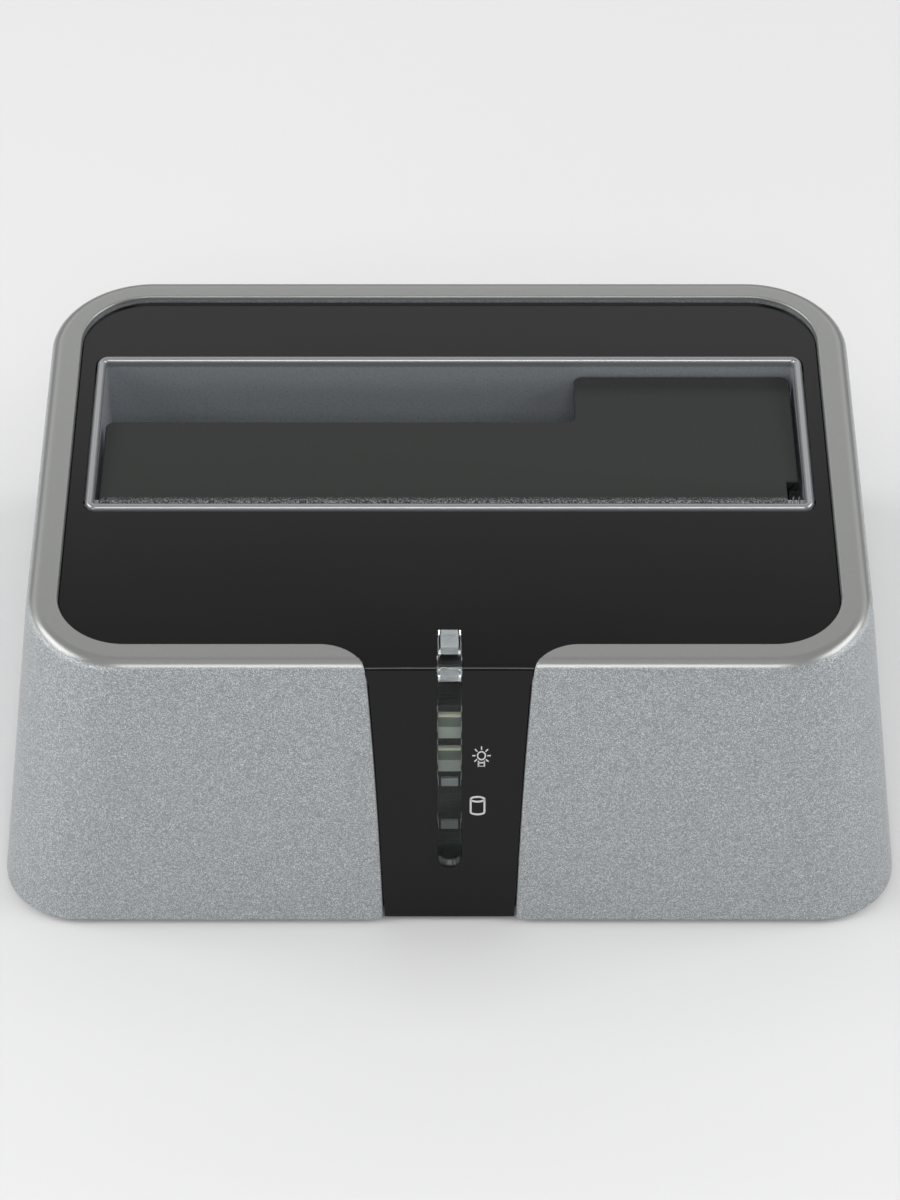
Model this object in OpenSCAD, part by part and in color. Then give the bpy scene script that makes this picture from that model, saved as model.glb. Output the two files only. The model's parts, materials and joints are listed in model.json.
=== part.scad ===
// Hard drive docking station: a tapered silver housing with a black T-shaped fascia, a drive slot
// closed by a sprung flap, a light guide that wraps over the front edge, and the boards inside.
// Millimetres. Origin in the middle of the plane that the feet stand on. +X right, +Y rear, +Z up.

/* [Housing] */
// depth of the housing at its top face
top_depth = 82.8; // [82:0.2:86]
// how far each side leans out between top and bottom
draft = 5.7; // [5.2:0.1:6.2]
// height of the housing without the feet
housing_height = 47.5; // [47:0.5:50]
// corner radius of the outline at the top
top_corner = 14.7; // [13:0.1:16]
// corner radius of the outline at the bottom
base_corner = 11.5; // [11:0.1:12.5]
// thickness of the housing's walls
wall = 2; // [1.8:0.1:2.2]
// rounding of the top's outer edge
edge_round = 1; // [0.6:0.1:1.4]

/* [Fascia] */
// width of the silver rim at the front and the sides
rim = 4.6; // [4.2:0.1:4.8]
// width of the silver rim at the rear
rear_rim = 4.2; // [4:0.1:4.8]
// corner radius of the black panel
panel_corner = 9.8; // [8:0.1:11]
// radius of the silver corners where the stem leaves the panel
stem_corner = 7.2; // [6.4:0.1:8]
// half width of the stem at the top front edge
stem_top_half = 11.55; // [11:0.05:12.5]
// half width of the stem at the bottom
stem_low_half = 9.5; // [9:0.1:10.5]
// how far the panel lies below the rim
panel_recess = 1; // [0.8:0.1:1.2]
// how far the stem lies behind the front face
stem_recess = 0.6; // [0.4:0.1:0.8]
// gap round the fascia in the housing's opening
fascia_gap = 0.25; // [0.2:0.05:0.35]

/* [Drive bay] */
// inside width of the slot, for a drive 101.6 wide
slot_width = 103.6; // [103:0.2:104.6]
// distance from the slot's side wall to the housing's side, at the top face
slot_side = 8.2; // [7.8:0.1:10]
// inside depth of the slot: drive, hinge and opened flap
slot_depth = 31; // [30.6:0.1:31.6]
// distance from the slot's rear wall to the top's rear edge
rear_land = 18.2; // [17.8:0.05:18.6]
// width of the silver ridge round the slot
bezel_width = 1.25; // [1.1:0.05:1.35]
// how far the ridge's top lies below the rim
bezel_drop = 0.4; // [0.2:0.1:0.5]
// height of the bay's floor above the table
bay_floor_height = 14.5; // [14:0.1:15]

/* [Flap] */
// radius of the flap's rolled front edge
barrel_radius = 1.6; // [1.5:0.05:1.7]
// thickness of the flap's plate
flap_thickness = 2; // [1.6:0.1:2.2]
// how far the closed flap falls to the rear, in degrees
flap_tilt = 3.2; // [2.5:0.1:3.6]
// radius of the hinge pin
pin_radius = 0.8; // [0.7:0.05:0.9]
// right end of the notch that lets a small drive in
notch_right = 18.75; // [17:0.25:21]
// depth of that notch from the flap's rear edge
notch_depth = 10.8; // [10:0.1:11.5]

/* [Light guide] */
// width of the clear strip
guide_width = 3.3; // [3:0.1:3.6]
// length of the strip on the top panel, from the front edge
guide_on_top = 7.6; // [7:0.1:8]
// height of the strip's rounded lower end
guide_low = 10.7; // [10:0.1:12]
// how far the strip stands out of the fascia
guide_proud = 0.45; // [0.3:0.05:0.5]

/* [Feet] */
// radius of a rubber foot
foot_radius = 5; // [4:0.1:5.4]
// how far a foot stands out of the base
foot_proud = 1; // [0.8:0.1:1.4]

/* [Hidden] */
$fn = 48;

// arcs of an outline are cut into this many steps a quarter turn
arc_steps = 12;
// thickness of the thin layers that the housing's hull is stretched over
layer = 0.01;
// small gap between pieces that sit face to face
seat_gap = 0.1;
// extra length that lets a cutter run past the face it cuts
past = 1;
// depth by which two bodies of one piece run into each other
merge = 0.2;

// levels and edges of the housing
top_width = slot_width + 2 * slot_side;
top_z = foot_proud + housing_height;
lean = atan(draft / housing_height);
panel_half = top_width / 2 - rim;
panel_front = rim - top_depth / 2;
panel_rear = top_depth / 2 - rear_rim;
// share of the stem's narrowing that goes with the square of the height
stem_curve = 0.5;

// the fascia is a face in the housing's opening and a wider flange behind the wall
flange_width = 1.6;
flange_thickness = 1.2;
fascia_under = wall + flange_thickness;
bend_round = 0.8;
// depth below the top over which the opening follows the panel's outline
bend_zone = 4;

// the light guide's head on the top panel, and the pad in a pocket under it
guide_under = fascia_under + 1;
head_rear = guide_on_top - top_depth / 2;
corner_depth = 2.3;
pocket_side = 0.3;
pocket_roof = top_z - fascia_under;
pad_half = guide_width / 2 - pocket_side - seat_gap;
pad_length = 2.3;
pad_over = 0.3;
pad_rear = head_rear + pad_over;
pad_front = pad_rear - pad_length;
pad_block = 1;
pad_height = 2.3;
pad_plate = 0.5;

// the slot and the bay below it
slot_rear = top_depth / 2 - rear_land;
slot_front = slot_rear - slot_depth;
slot_middle = (slot_front + slot_rear) / 2;
slot_corner = 0.4;
bezel_top = top_z - bezel_drop;
bezel_gap = 0.25;
bay_wall = 1.6;
bay_floor = 1.8;
bay_under = bay_floor_height - bay_floor;
bay_flange_out = 3.2;
bay_flange_thickness = 1.5;
bay_flange_top = top_z - fascia_under - seat_gap;
bay_flange_low = bay_flange_top - bay_flange_thickness;

// ears at the foot of the bay, screwed to posts on the base
ear_reach = 3.6;
ear_inset = 6;
ear_radius = 3.2;
ear_thickness = 2;
ear_x = slot_width / 2 + bay_wall + ear_reach;
ear_rows = [slot_front + ear_inset, slot_rear - ear_inset];

// the flap turns on a pin near the slot's front wall
hinge_back = 2.4;
hinge_drop = 2.95;
hinge_y = slot_front + hinge_back;
hinge_z = bezel_top - hinge_drop;
pin_clearance = 0.05;
pin_seat_gap = 0.02;
pin_cover = 0.2;
flap_side_gap = 0.6;
flap_rear_gap = 0.45;
flap_corner = 1.2;
flap_half = slot_width / 2 - flap_side_gap;
flap_reach = slot_rear - flap_rear_gap - hinge_y;
plate_low = barrel_radius - flap_thickness;
rib_size = [1.2, 16, 1.1];
rib_pitch = 34;

// heels on the flap and lugs in the bay, which hold the closed flap against its spring
stop_inset = 16.2;
stop_half = 1.5;
stop_reach = 2.2;
stop_rows = [stop_inset - flap_half, flap_half - stop_inset];
heel_drop = 0.8;
heel_thickness = 1;
lug_out = 0.7;
lug_height = 1.2;
lug_drop = 1;

// the spring coils round the pin in a notch at the flap's right end, its long leg under a pad
spring_room = 2.4;
spring_side = 0.4;
spring_notch_back = 3.5;
spring_wire = 0.36;
spring_pitch = 0.84;
spring_coil = 1.2;
spring_turn = 700;
spring_start = 270;
spring_legs = [4.5, 2.8];
spring_x = slot_width / 2 - spring_room + spring_side;
rings_per_turn = 8;
wire_sides = 6;
pad_size = [1.5, 3, 0.55];
pad_inset = 3.2;

// base plate with the rear panel, the feet and two rows of vents
base_thickness = 2.5;
base_top = foot_proud + base_thickness;
base_gap = 0.3;
rear_out = 2.8;
rear_thickness = 2;
rear_face = top_depth / 2 + rear_out;
rear_inside = rear_face - rear_thickness;
rear_half = 42;
rear_height = 22;
rear_top = foot_proud + rear_height;
foot_sink = 0.6;
foot_gap = 0.05;
foot_inset = [16, 8];
foot_x = top_width / 2 - foot_inset[0];
foot_y = top_depth / 2 - foot_inset[1];
vent_size = [24, 2];
vent_pitch = 5;
vent_x = 20;
vent_back = 16.8;
vent_y = panel_front + vent_back;

// screws and their bosses
screw_radius = 1.45;
screw_gap = 0.05;
screw_room = 0.2;
tip_room = 0.5;
head_radius = 2.7;
head_height = 1.8;
head_room = 0.4;
recess_size = [3.2, 0.6, 0.9];
boss_radius = 3;
case_inset = [5, 4.9];
case_x = top_width / 2 - case_inset[0];
case_y = top_depth / 2 - case_inset[1];
case_pad = 3;
pad_rim = 1;
case_sink = 3;
case_length = 12;
case_seat = foot_proud + case_sink;
bay_screw_length = 8;
board_screw_length = 5;

// main board, on short standoffs and two posts under its tongue
board_lift = 4;
board_thickness = 1.6;
board_under = base_top + board_lift;
board_top = board_under + board_thickness;
board_side = 5.8;
board_ahead = 3.75;
board_rear_gap = 0.4;
board_half = slot_width / 2 - board_side;
board_front = slot_front - board_ahead;
board_rear = rear_inside - board_rear_gap;
tongue_half = 11;
tongue_ahead = 1.6;
tongue_front = panel_front - tongue_ahead;
hole_side = 5;
hole_front = 1.5;
hole_rear = 14;
board_holes = [
    for (x = [-1, 1], y = [slot_front + hole_front, rear_inside - hole_rear])
        [x * (board_half - hole_side), y]];
post_radius = 2.5;
post_x = 4;
post_y = panel_front + 6;

// drive socket, where both drive sizes have their plug
sata_x = -20.7;
sata_back = 3.9;
sata_rise = 5;
sata_gap = 0.5;
sata_y = slot_rear - sata_back;
sata_size = [44, 6, bay_floor_height + sata_rise - board_top];
sata_signal = [11, 2.2];
sata_power = [22, 2.2];
sata_key = 2.4;
sata_slot_depth = 6.5;
sata_signal_x = sata_x - (sata_power[0] + sata_key) / 2;
sata_power_x = sata_x + (sata_signal[0] + sata_key) / 2;
signal_count = 7;
power_count = 15;
contact_pitch = 1.27;
contact_blade = [0.6, 0.25, 5.4];
contact_foot = [0.6, 1.5, 0.25];

// sockets and switch on the rear panel, at these places across it
usb_x = 0;
jack_x = 27;
switch_x = -27;
port_gap = 0.2;

// USB socket: its shell, the plug's room in it and the tongue in the room's middle
usb_size = [12, 16, 11];
usb_sheet = 0.4;
usb_proud = 0.3;
usb_room = [8.6, 9, 7.9];
usb_tongue_size = [5.6, 7.6, 3.2];
usb_mouth = rear_face + usb_proud - usb_sheet / 2;
usb_z = board_top + usb_size[2] / 2;
usb_contact = [1, 6.8, 0.2];
usb_contact_pitch = 2.5;

// power socket
jack_size = [9, 14, 11];
jack_bore = 3.2;
jack_depth = 10;
jack_pin = 1.05;
jack_pin_length = 9;
jack_pin_bevel = 0.6;
jack_z = board_top + jack_size[2] / 2;

// switch
switch_lift = 6;
switch_z = board_top + switch_lift;
switch_size = [13.2, 11.2, 8.4];
switch_rim = [15, 1.2, 10];
switch_mouth = [12.4, 7.4];
switch_mouth_depth = 2.6;
switch_pivot_depth = 1.6;
switch_pivot = rear_face - switch_pivot_depth;
rocker_size = [11.2, 7];
rocker_lean = 11;
trunnion = 0.9;
trunnion_gap = 0.1;
terminal_size = [2, 0.8];
terminal_x = 3;
terminal_in = 2;

// light board behind the guide, with its header
light_ahead = 0.8;
light_y = panel_front - light_ahead;
light_half = 6;
light_thickness = 1.2;
light_drop = 10.5;
light_low = board_top + 2 * seat_gap;
light_high = top_z - light_drop;
led_size = [3.2, 0.7, 4.9];
power_led_drop = 14.3;
activity_led_drop = 21.2;
resistor_size = [2.5, 0.55, 1.6];
resistor_drops = [26.1, 35.2];
header_size = [10.2, 2.5, 2.5];
header_pitch = 2.54;
header_pin = 0.6;
header_pin_reach = 1.6;
header_pin_lift = 0.95;

// half sizes and corner radius of the leaning housing at height z
function half_width(z) = top_width / 2 + draft * (top_z - z) / housing_height;
function half_depth(z) = top_depth / 2 + draft * (top_z - z) / housing_height;
function corner_at(z) = top_corner + (base_corner - top_corner) * (top_z - z) / housing_height;

// points of a rectangle with round corners, centred on the origin
function rounded(width, depth, r) = [
    for (q = [0 : 3])
        for (s = [0 : arc_steps])
            let (a = 90 * (q + s / arc_steps), sx = q == 0 || q == 3 ? 1 : -1, sy = q < 2 ? 1 : -1)
                [sx * (width / 2 - r) + r * cos(a), sy * (depth / 2 - r) + r * sin(a)]];

// points of an arc that rounds the corner at a point between its two neighbours
function corner_arc(before, at, after, r) =
    let (a = (before - at) / norm(before - at), b = (after - at) / norm(after - at))
        let (half = acos(a * b) / 2, centre = at + (a + b) / norm(a + b) * r / sin(half))
            let (first = at + a * r / tan(half) - centre, last = at + b * r / tan(half) - centre)
                [for (s = [0 : arc_steps / 2])
                    let (way = first * (1 - 2 * s / arc_steps) + last * 2 * s / arc_steps)
                        centre + r * way / norm(way)];

// outline with every corner rounded
function rounded_outline(corners, r) =
    let (count = len(corners))
        [for (i = [0 : count - 1])
            each corner_arc(corners[(i + count - 1) % count], corners[i], corners[(i + 1) % count], r)];

// half width of the stem at height z: it narrows quickly below the bend, then slowly
function stem_half(z) =
    let (t = max(0, (z - foot_proud) / housing_height), spread = stem_top_half - stem_low_half)
        stem_low_half + spread * t * (1 - stem_curve + stem_curve * t);

// thin layer of the housing's outline at height z
module layer_discs(z, inset)
    for (x = [-1, 1], y = [-1, 1])
        translate([x * (half_width(z) - corner_at(z)), y * (half_depth(z) - corner_at(z)), z - layer])
            cylinder(r = corner_at(z) - inset, h = layer);

// the housing's leaning form, drawn in by inset, with its top edge rounded
module leaning_block(inset, low, high, edge)
    hull() {
        layer_discs(low, inset);
        for (a = [0 : 30 : 90])
            layer_discs(high - edge * (1 - sin(a)), inset + edge * (1 - cos(a)));
    }

// profile of a skin that follows the top and the front face, swept across the width
module front_skin(face_inset, top_inset, under, low, edge) {
    turn_z = top_z - top_inset - edge;
    turn_y = face_inset - half_depth(turn_z) + edge / cos(lean);
    rotate([90, 0, 90])
        linear_extrude(top_width, center = true)
            polygon(concat(
                [[top_depth / 2, top_z - under], [top_depth / 2, top_z - top_inset]],
                [for (s = [0 : arc_steps / 2])
                    let (a = 90 + (90 - lean) * s / (arc_steps / 2))
                        [turn_y + edge * cos(a), turn_z + edge * sin(a)]],
                [[face_inset - half_depth(low), low], [under - half_depth(low), low],
                 [under - half_depth(top_z - under), top_z - under]]));
}

// the T: the panel's outline seen from above, and the stem's outline seen from the front
module t_mask(grow) {
    flare = sqrt(2 * stem_corner * rim - rim * rim);
    translate([0, 0, top_z - bend_zone])
        linear_extrude(bend_zone + past)
            union() {
                translate([0, (panel_front + panel_rear) / 2])
                    polygon(rounded(2 * (panel_half + grow), panel_rear - panel_front + 2 * grow,
                        panel_corner + grow));
                difference() {
                    translate([0, panel_front - rim / 2])
                        square([2 * (stem_top_half + flare), rim + 2 * past], center = true);
                    for (x = [-1, 1])
                        translate([x * (stem_top_half + flare), panel_front - stem_corner])
                            circle(r = stem_corner - grow);
                }
            }
    steps = 8;
    heights = [for (s = [0 : steps]) foot_proud - past + (housing_height + past) * s / steps];
    translate([0, panel_front, 0])
        rotate([90, 0, 0])
            linear_extrude(rim + draft + past)
                polygon(concat(
                    [for (z = heights) [stem_half(z) + grow, z]],
                    [for (s = [0 : steps]) let (z = heights[steps - s]) [-stem_half(z) - grow, z]]));
}

// the light guide's outline: a strip that starts on the top and ends round on the front
module strip_mask(half, rear, low) {
    translate([-half, -half_depth(0), low + half])
        cube([2 * half, half_depth(0) + rear, top_z]);
    translate([0, rear, low + half])
        rotate([90, 0, 0])
            cylinder(r = half, h = half_depth(0) + rear);
}

// sweeps a profile, drawn outward from the wall, round a rectangle with round corners
module ring_sweep(width, depth, r)
    for (turn = [0, 180])
        rotate(turn) {
            translate([width / 2, depth / 2 - r, 0])
                rotate([90, 0, 0])
                    linear_extrude(depth - 2 * r)
                        children();
            translate([r - width / 2, depth / 2, 0])
                rotate([90, 0, 90])
                    linear_extrude(width - 2 * r)
                        children();
            for (side = [0, 1])
                translate([(1 - 2 * side) * (width / 2 - r), depth / 2 - r, 0])
                    rotate(90 * side)
                        rotate_extrude(angle = 90)
                            translate([r, 0])
                                children();
        }

// pan-head screw with its head up, the head's seat at the origin
module screw(length) {
    difference() {
        cylinder(r = head_radius, h = head_height);
        for (turn = [0, 90])
            rotate(turn)
                translate([-recess_size[0] / 2, -recess_size[1] / 2, head_height - recess_size[2]])
                    cube([recess_size[0], recess_size[1], recess_size[2] + past]);
    }
    translate([0, 0, -length])
        cylinder(r = screw_radius, h = length + merge);
}

// places the four case screws
module at_case_corners()
    for (x = [-1, 1], y = [-1, 1])
        translate([x * case_x, y * case_y, 0])
            children();

// places the four ears of the bay
module at_ears()
    for (x = [-1, 1], y = ear_rows)
        translate([x * ear_x, y, 0])
            children();

module housing()
    color([0.66, 0.67, 0.69])
        difference() {
            union() {
                difference() {
                    leaning_block(0, foot_proud, top_z, edge_round);
                    leaning_block(wall, foot_proud - layer, top_z - wall, layer);
                }
                // bosses for the case screws run up into the leaning corners
                intersection() {
                    at_case_corners()
                        translate([0, 0, base_top + case_pad + seat_gap])
                            cylinder(r = boss_radius, h = top_z - fascia_under - past - base_top - case_pad);
                    leaning_block(wall / 2, foot_proud, top_z - wall / 2, layer);
                }
            }
            t_mask(fascia_gap);
            // opening for the rear panel, open at the bottom
            translate([-rear_half - port_gap, rear_inside - wall, -past])
                cube([2 * (rear_half + port_gap), top_depth / 4, rear_top + port_gap + past]);
            at_case_corners()
                translate([0, 0, case_seat])
                    cylinder(r = screw_radius + screw_gap, h = case_length + tip_room);
        }

module fascia()
    color([0.03, 0.03, 0.035])
        difference() {
            union() {
                intersection() {
                    front_skin(stem_recess, panel_recess, wall + merge, foot_proud, bend_round);
                    t_mask(0);
                }
                intersection() {
                    front_skin(wall, wall, fascia_under, base_top + seat_gap, layer);
                    t_mask(flange_width);
                }
            }
            translate([0, slot_middle, top_z - 2 * fascia_under])
                linear_extrude(3 * fascia_under)
                    polygon(rounded(slot_width + 2 * (bezel_width + bezel_gap),
                        slot_depth + 2 * (bezel_width + bezel_gap), slot_corner + bezel_width + bezel_gap));
            strip_mask(guide_width / 2 + seat_gap, guide_on_top - top_depth / 2 + seat_gap,
                guide_low - seat_gap);
        }

module light_guide()
    color([0.85, 0.9, 0.92, 0.5]) {
        lip = 1.35;
        difference() {
            union() {
                intersection() {
                    front_skin(stem_recess - guide_proud, panel_recess - guide_proud, guide_under, foot_proud,
                        bend_round);
                    strip_mask(guide_width / 2, head_rear, guide_low);
                }
                intersection() {
                    front_skin(fascia_under, fascia_under, guide_under, foot_proud, layer);
                    strip_mask(guide_width / 2 + lip, head_rear + lip, guide_low - lip);
                }
                // thick inner corner in front of the pad
                translate([-guide_width / 2, pad_front - seat_gap - corner_depth, pocket_roof - pad_height])
                    cube([guide_width, corner_depth, pad_height]);
            }
            // pocket for the pad
            translate([-pad_half - seat_gap, pad_front - seat_gap, pocket_roof - 2 * pad_height])
                cube([2 * (pad_half + seat_gap), pad_length + 2 * seat_gap, 2 * pad_height]);
        }
    }

// white pad in a pocket under the guide's head, which throws the lamps' light up and out
module guide_pad()
    color([0.93, 0.93, 0.92]) {
        translate([-pad_half, pad_front, pocket_roof - seat_gap - pad_height])
            cube([2 * pad_half, pad_block, pad_height]);
        translate([-pad_half, pad_front, pocket_roof - seat_gap - pad_plate])
            cube([2 * pad_half, pad_length, pad_plate]);
    }

module drive_bay() {
    ridge = bezel_width / 2;
    color([0.68, 0.69, 0.71])
        difference() {
            union() {
                translate([0, slot_middle, 0])
                    ring_sweep(slot_width, slot_depth, slot_corner)
                        polygon(concat(
                            [[bay_wall, bay_under], [bay_wall, bay_flange_low],
                             [bay_flange_out, bay_flange_low], [bay_flange_out, bay_flange_top],
                             [bezel_width, bay_flange_top]],
                            [for (a = [0 : 22.5 : 180])
                                [ridge + ridge * cos(a), bezel_top - ridge + ridge * sin(a)]],
                            [[0, bay_under]]));
                translate([0, slot_middle, bay_under])
                    linear_extrude(bay_floor)
                        polygon(rounded(slot_width + bay_wall, slot_depth + bay_wall, slot_corner));
                at_ears()
                    translate([0, 0, bay_under])
                        cylinder(r = ear_radius, h = ear_thickness);
                for (x = [-1, 1], y = ear_rows)
                    translate([x * (ear_x - ear_reach / 2) - ear_reach / 2, y - ear_radius, bay_under])
                        cube([ear_reach, 2 * ear_radius, ear_thickness]);
                // lugs under the flap's heels, which hold the closed flap against its spring
                for (x = stop_rows)
                    translate([x - stop_half, slot_front - merge, hinge_z - lug_drop - lug_height])
                        cube([2 * stop_half, lug_out + merge, lug_height]);
            }
            at_ears()
                translate([0, 0, bay_under - past])
                    cylinder(r = screw_radius + screw_room, h = ear_thickness + 2 * past);
            translate([0, hinge_y, hinge_z])
                rotate([0, 90, 0])
                    cylinder(r = pin_radius + pin_seat_gap, h = slot_width + 4 * bay_wall, center = true);
            translate([sata_x, sata_y, bay_under])
                cube([sata_size[0] + 2 * sata_gap, sata_size[1] + 2 * sata_gap, 4 * bay_floor],
                    center = true);
        }
}

module drive_flap() {
    roll_steps = 18;
    roll_end = 360 + asin(plate_low / barrel_radius);
    front = -2 * barrel_radius;
    notch_front = flap_reach - notch_depth;
    color([0.17, 0.17, 0.18])
        translate([0, hinge_y, hinge_z])
            rotate([-flap_tilt, 0, 0])
                difference() {
                    union() {
                        // plate with its rolled front edge, cut to the outline with the small drive's notch
                        intersection() {
                            rotate([90, 0, 90])
                                linear_extrude(2 * flap_half, center = true)
                                    polygon(concat(
                                        [for (s = [0 : roll_steps])
                                            let (a = 90 + (roll_end - 90) * s / roll_steps)
                                                barrel_radius * [cos(a), sin(a)]],
                                        [[flap_reach, plate_low], [flap_reach, barrel_radius]]));
                            linear_extrude(4 * barrel_radius, center = true)
                                polygon(rounded_outline([[-flap_half, front], [flap_half, front],
                                    [flap_half, flap_reach], [notch_right, flap_reach],
                                    [notch_right, notch_front], [-flap_half, notch_front]], flap_corner));
                        }
                        // stiffening ribs under the plate
                        for (i = [-1 : 1])
                            translate([i * rib_pitch - rib_size[0] / 2, 0, plate_low - rib_size[2]])
                                cube([rib_size[0], rib_size[1], rib_size[2] + merge]);
                        // heels that stop the flap level with the slot
                        for (x = stop_rows)
                            translate([x - stop_half, -stop_reach, -heel_drop])
                                cube([2 * stop_half, stop_reach, heel_thickness]);
                        // pad that the spring's long leg bears on
                        translate([flap_half - pad_inset, spring_notch_back, plate_low - pad_size[2]])
                            cube([pad_size[0], pad_size[1], pad_size[2] + merge]);
                    }
                    rotate([0, 90, 0])
                        cylinder(r = pin_radius + pin_clearance, h = slot_width, center = true);
                    // notch round the spring
                    translate([slot_width / 2 - spring_room, front, 2 * front])
                        cube([spring_room, spring_notch_back - front, -4 * front]);
                }
}

module flap_pin()
    color([0.72, 0.72, 0.74])
        translate([0, hinge_y, hinge_z])
            rotate([0, 90, 0])
                cylinder(r = pin_radius, h = slot_width + 2 * (bezel_width - pin_cover), center = true);

// centre line and outward direction of the spring's rings, from the long leg to the short one
spring_length = spring_pitch * spring_turn / 360;
spring_rings = ceil(rings_per_turn * spring_turn / 360);
function spring_angle(s) = spring_start - spring_turn * s;
function spring_line(s) =
    [spring_x + spring_length * s, spring_coil * cos(spring_angle(s)), spring_coil * sin(spring_angle(s))];
function spring_way(s) = [0, sin(spring_angle(s)), -cos(spring_angle(s))];
function spring_out(s) = [0, cos(spring_angle(s)), sin(spring_angle(s))];
spring_middle = concat(
    [spring_line(0) - spring_legs[0] * spring_way(0)],
    [for (i = [0 : spring_rings]) spring_line(i / spring_rings)],
    [spring_line(1) + spring_legs[1] * spring_way(1)]);
spring_outward = concat(
    [spring_out(0)],
    [for (i = [0 : spring_rings]) spring_out(i / spring_rings)],
    [spring_out(1)]);

// least gap between turns: rings at least half a turn apart, less one wire
spring_gaps = [
    for (i = [1 : spring_rings + 1])
        for (k = [i + rings_per_turn / 2 : spring_rings + 1])
            norm(spring_middle[i] - spring_middle[k]) - spring_wire];
echo(least_spring_gap_mm = min(spring_gaps));

module flap_spring() {
    count = len(spring_middle);
    ring_points = [
        for (i = [0 : count - 1])
            for (s = [0 : wire_sides - 1])
                let (a = 360 * s / wire_sides)
                    spring_middle[i] + spring_wire / 2 * (cos(a) * spring_outward[i] + sin(a) * [1, 0, 0])];
    sides = [
        for (i = [0 : count - 2])
            for (s = [0 : wire_sides - 1])
                let (a = i * wire_sides + s, b = i * wire_sides + (s + 1) % wire_sides)
                    each [[a, b, a + wire_sides], [b, b + wire_sides, a + wire_sides]]];
    last = (count - 1) * wire_sides;
    caps = [
        for (s = [1 : wire_sides - 2])
            each [[0, s + 1, s], [last, last + s, last + s + 1]]];
    color([0.7, 0.7, 0.72])
        translate([0, hinge_y, hinge_z])
            rotate([-flap_tilt, 0, 0])
                polyhedron(ring_points, concat(sides, caps));
}

module led_board()
    color([0.1, 0.42, 0.2])
        translate([-light_half, light_y, light_low])
            cube([2 * light_half, light_thickness, light_high - light_low]);

// small surface-mounted lamp on the front of the light board
module led(z)
    color([0.93, 0.9, 0.75])
        translate([-led_size[0] / 2, light_y - led_size[1], z - led_size[2] / 2])
            cube(led_size);

module power_led()
    led(top_z - power_led_drop);

module activity_led()
    led(top_z - activity_led_drop);

// two small resistors below the lamps
module lamp_resistors()
    color([0.7, 0.72, 0.7])
        for (drop = resistor_drops)
            translate([0, light_y - resistor_size[1] / 2, top_z - drop])
                cube(resistor_size, center = true);

module led_header()
    color([0.05, 0.05, 0.05])
        translate([-header_size[0] / 2, light_y + light_thickness, board_top])
            cube(header_size);

module header_pins()
    color([0.83, 0.68, 0.35])
        for (i = [-1.5 : 1.5])
            translate([i * header_pitch - header_pin / 2, light_y + light_thickness + header_size[1],
                board_top]) {
                translate([0, 0, header_pin_lift])
                    cube([header_pin, header_pin_reach, header_pin]);
                translate([0, header_pin_reach - header_pin, 0])
                    cube([header_pin, header_pin, header_pin_lift + merge]);
            }

module main_board()
    color([0.1, 0.4, 0.2])
        difference() {
            union() {
                translate([-board_half, board_front, board_under])
                    cube([2 * board_half, board_rear - board_front, board_thickness]);
                translate([-tongue_half, tongue_front, board_under])
                    cube([2 * tongue_half, board_front - tongue_front + past, board_thickness]);
            }
            for (p = board_holes)
                translate([p[0], p[1], board_under - past])
                    cylinder(r = screw_radius + screw_room, h = board_thickness + 2 * past);
        }

module sata_socket()
    color([0.06, 0.06, 0.06])
        difference() {
            translate([sata_x - sata_size[0] / 2, sata_y - sata_size[1] / 2, board_top])
                cube(sata_size);
            translate([sata_signal_x, sata_y, board_top + sata_size[2]])
                cube([sata_signal[0], sata_signal[1], 2 * sata_slot_depth], center = true);
            translate([sata_power_x, sata_y, board_top + sata_size[2]])
                cube([sata_power[0], sata_power[1], 2 * sata_slot_depth], center = true);
        }

// one row of contacts: a blade in the slot and a solder foot in front of the socket for each
module contact_row(middle, count)
    for (i = [0 : count - 1])
        translate([middle + (i - (count - 1) / 2) * contact_pitch - contact_blade[0] / 2, sata_y,
            board_top]) {
            translate([0, sata_signal[1] / 2 - contact_blade[1], sata_size[2] - sata_slot_depth])
                cube(contact_blade);
            translate([0, -sata_size[1] / 2 - contact_foot[1], 0])
                cube(contact_foot);
        }

module sata_contacts()
    color([0.83, 0.68, 0.35]) {
        contact_row(sata_signal_x, signal_count);
        contact_row(sata_power_x, power_count);
    }

module usb_shell()
    color([0.75, 0.75, 0.76])
        translate([usb_x, rear_face + usb_proud - usb_size[1] / 2, usb_z])
            difference() {
                cube(usb_size, center = true);
                translate([0, usb_sheet + past / 2, 0])
                    cube([usb_size[0] - 2 * usb_sheet, usb_size[1] + past, usb_size[2] - 2 * usb_sheet],
                        center = true);
            }

module usb_tongue() {
    inside = usb_size - 2 * usb_sheet * [1, 1, 1];
    block = inside - seat_gap * [1, 0, 1];
    color([0.9, 0.9, 0.88])
        difference() {
            translate([usb_x, usb_mouth - block[1] / 2, usb_z])
                cube(block, center = true);
            difference() {
                translate([usb_x, usb_mouth - usb_room[1] / 2 + past / 2, usb_z])
                    cube([usb_room[0], usb_room[1] + past, usb_room[2]], center = true);
                translate([usb_x, usb_mouth - usb_room[1] + usb_tongue_size[1] / 2 - past / 2, usb_z])
                    cube(usb_tongue_size + [0, past, 0], center = true);
            }
        }
}

module usb_contacts()
    color([0.83, 0.68, 0.35])
        for (side = [-1, 1], up = [-1, 1])
            translate([usb_x + side * usb_contact_pitch / 2, usb_mouth - usb_room[1] + usb_contact[1] / 2,
                usb_z + up * (usb_tongue_size[2] + usb_contact[2]) / 2])
                cube(usb_contact, center = true);

module dc_jack_body()
    color([0.04, 0.04, 0.04])
        difference() {
            translate([jack_x - jack_size[0] / 2, rear_face - jack_size[1], board_top])
                cube(jack_size);
            translate([jack_x, rear_face + past, jack_z])
                rotate([90, 0, 0])
                    cylinder(r = jack_bore, h = jack_depth + past);
        }

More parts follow.
